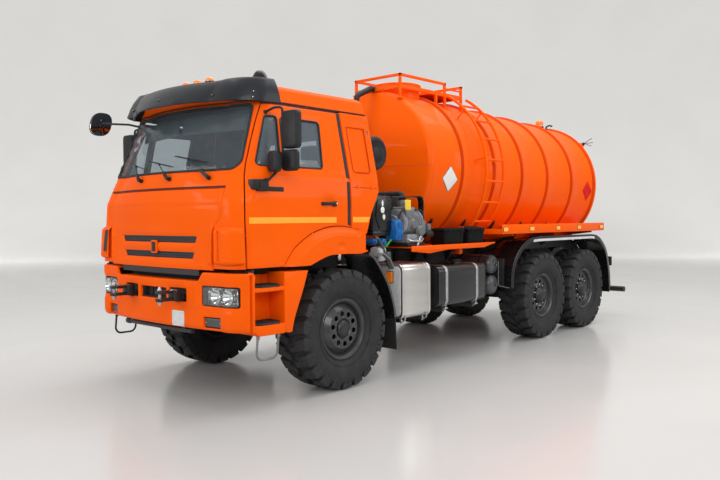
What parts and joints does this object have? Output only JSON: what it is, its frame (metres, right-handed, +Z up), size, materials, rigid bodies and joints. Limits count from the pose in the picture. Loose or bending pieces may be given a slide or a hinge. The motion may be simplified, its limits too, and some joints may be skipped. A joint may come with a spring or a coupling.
{
  "type": "tanker truck",
  "caption": "Three-axle cab-over truck with a long ribbed vacuum tank, side ladder, hatch platform, tilting cab, opening doors, nose panel and steered wheels.",
  "frame": {"origin": "middle of the overall box at floor level, under the tyres", "axes": "+Y towards the rear of the truck, so the cab faces -Y; +X towards the truck's left side, which has the steering wheel; +Z up"},
  "size_m": [2.936, 8.6399, 3.5],
  "materials": {
    "body_orange": "gloss orange paint",
    "glass": "tinted safety glass",
    "visor_plastic": "smoked acrylic",
    "black_plastic": "moulded black plastic",
    "seat_fabric": "woven cloth",
    "tyre": "black rubber",
    "black_steel": "satin black paint",
    "cast_iron": "painted casting",
    "lid_steel": "satin black paint",
    "lamp_glass": "clear lens"
  },
  "bodies": {
    "chassis": {"chassis_frame": "black_steel", "front_axle": "black_steel", "rear_axles": "black_steel", "leaf_springs": "black_steel", "engine_block": "cast_iron", "driveline": "black_steel", "front_bumper": "body_orange", "tow_forks": "black_steel", "headlamps": "lamp_glass", "cab_steps": "body_orange", "mudguards": "black_plastic", "battery_box": "black_plastic", "fuel_tanks": "black_steel", "silencer": "black_plastic", "air_reservoirs": "black_steel", "toolboxes": "body_orange", "vacuum_pump": "cast_iron", "oil_tank": "black_plastic", "air_cleaner": "black_steel", "vacuum_pipe": "black_steel", "tank": "body_orange", "tank_cradle": "black_steel", "side_trays": "body_orange", "ladder": "body_orange", "platform": "body_orange", "discharge_valve": "cast_iron", "underrun_bar": "black_steel", "rear_lights": "lamp_glass"},
    "cab": {"cab_shell": "body_orange", "cab_windows": "glass", "roof_cap": "body_orange", "sun_visor": "visor_plastic", "fender_flares": "body_orange", "corner_deflectors": "body_orange", "seats": "seat_fabric", "dashboard": "black_plastic"},
    "left_door_body": {"left_door": "body_orange", "left_door_glass": "glass", "left_mirrors": "black_plastic"},
    "right_door_body": {"right_door": "body_orange", "right_door_glass": "glass", "right_mirrors": "black_plastic"},
    "front_panel_body": {"front_panel": "body_orange"},
    "manhole_lid_body": {"manhole_lid": "lid_steel"},
    "front_toolbox_lid_body": {"front_toolbox_lid": "black_plastic"},
    "rear_toolbox_lid_body": {"rear_toolbox_lid": "black_plastic"},
    "left_steering": {"left_knuckle": "black_steel"},
    "right_steering": {"right_knuckle": "black_steel"},
    "front_left_wheel": {"front_left_rim": "black_steel", "front_left_tyre": "tyre"},
    "front_right_wheel": {"front_right_rim": "black_steel", "front_right_tyre": "tyre"},
    "middle_left_wheel": {"middle_left_rim": "black_steel", "middle_left_tyre": "tyre"},
    "middle_right_wheel": {"middle_right_rim": "black_steel", "middle_right_tyre": "tyre"},
    "rear_left_wheel": {"rear_left_rim": "black_steel", "rear_left_tyre": "tyre"},
    "rear_right_wheel": {"rear_right_rim": "black_steel", "rear_right_tyre": "tyre"}
  },
  "joints": [
    {"name": "cab_tilt", "type": "hinge", "parent": "chassis", "child": "cab", "pos_m": [0, -3.99, 0.86], "axis": [1, 0, 0], "range_deg": [0, 45]},
    {"name": "left_door_hinge", "type": "hinge", "parent": "cab", "child": "left_door_body", "pos_m": [1.2, -3.883, 1.9], "axis": [0, 0, -1], "range_deg": [0, 70]},
    {"name": "right_door_hinge", "type": "hinge", "parent": "cab", "child": "right_door_body", "pos_m": [-1.2, -3.883, 1.9], "axis": [0, 0, 1], "range_deg": [0, 70]},
    {"name": "front_panel_hinge", "type": "hinge", "parent": "cab", "child": "front_panel_body", "pos_m": [0, -4.072, 1.99], "axis": [-1, 0, 0], "range_deg": [0, 75]},
    {"name": "manhole_lid_hinge", "type": "hinge", "parent": "chassis", "child": "manhole_lid_body", "pos_m": [0.12, -0.175, 3.413], "axis": [-1, 0, 0], "range_deg": [0, 100]},
    {"name": "front_toolbox_hinge", "type": "hinge", "parent": "chassis", "child": "front_toolbox_lid_body", "pos_m": [0.898, -0.6715, 1.5525], "axis": [0, -1, 0], "range_deg": [0, 60]},
    {"name": "rear_toolbox_hinge", "type": "hinge", "parent": "chassis", "child": "rear_toolbox_lid_body", "pos_m": [0.898, -0.1945, 1.5525], "axis": [0, -1, 0], "range_deg": [0, 60]},
    {"name": "left_steer", "type": "hinge", "parent": "chassis", "child": "left_steering", "pos_m": [0.86, -2.68, 0.605], "axis": [0, 0, 1], "range_deg": [-28, 28]},
    {"name": "right_steer", "type": "hinge", "parent": "chassis", "child": "right_steering", "pos_m": [-0.86, -2.68, 0.605], "axis": [0, 0, 1], "range_deg": [-28, 28]},
    {"name": "front_left_spin", "type": "hinge", "parent": "left_steering", "child": "front_left_wheel", "pos_m": [1.025, -2.68, 0.605], "axis": [1, 0, 0], "continuous": true},
    {"name": "front_right_spin", "type": "hinge", "parent": "right_steering", "child": "front_right_wheel", "pos_m": [-1.025, -2.68, 0.605], "axis": [1, 0, 0], "continuous": true},
    {"name": "middle_left_spin", "type": "hinge", "parent": "chassis", "child": "middle_left_wheel", "pos_m": [1.025, 1.42, 0.605], "axis": [1, 0, 0], "continuous": true},
    {"name": "middle_right_spin", "type": "hinge", "parent": "chassis", "child": "middle_right_wheel", "pos_m": [-1.025, 1.42, 0.605], "axis": [1, 0, 0], "continuous": true},
    {"name": "rear_left_spin", "type": "hinge", "parent": "chassis", "child": "rear_left_wheel", "pos_m": [1.025, 2.74, 0.605], "axis": [1, 0, 0], "continuous": true},
    {"name": "rear_right_spin", "type": "hinge", "parent": "chassis", "child": "rear_right_wheel", "pos_m": [-1.025, 2.74, 0.605], "axis": [1, 0, 0], "continuous": true}
  ],
  "couplings": [
    {"joint": "right_steer", "follows": "left_steer", "ratio": 1}
  ]
}
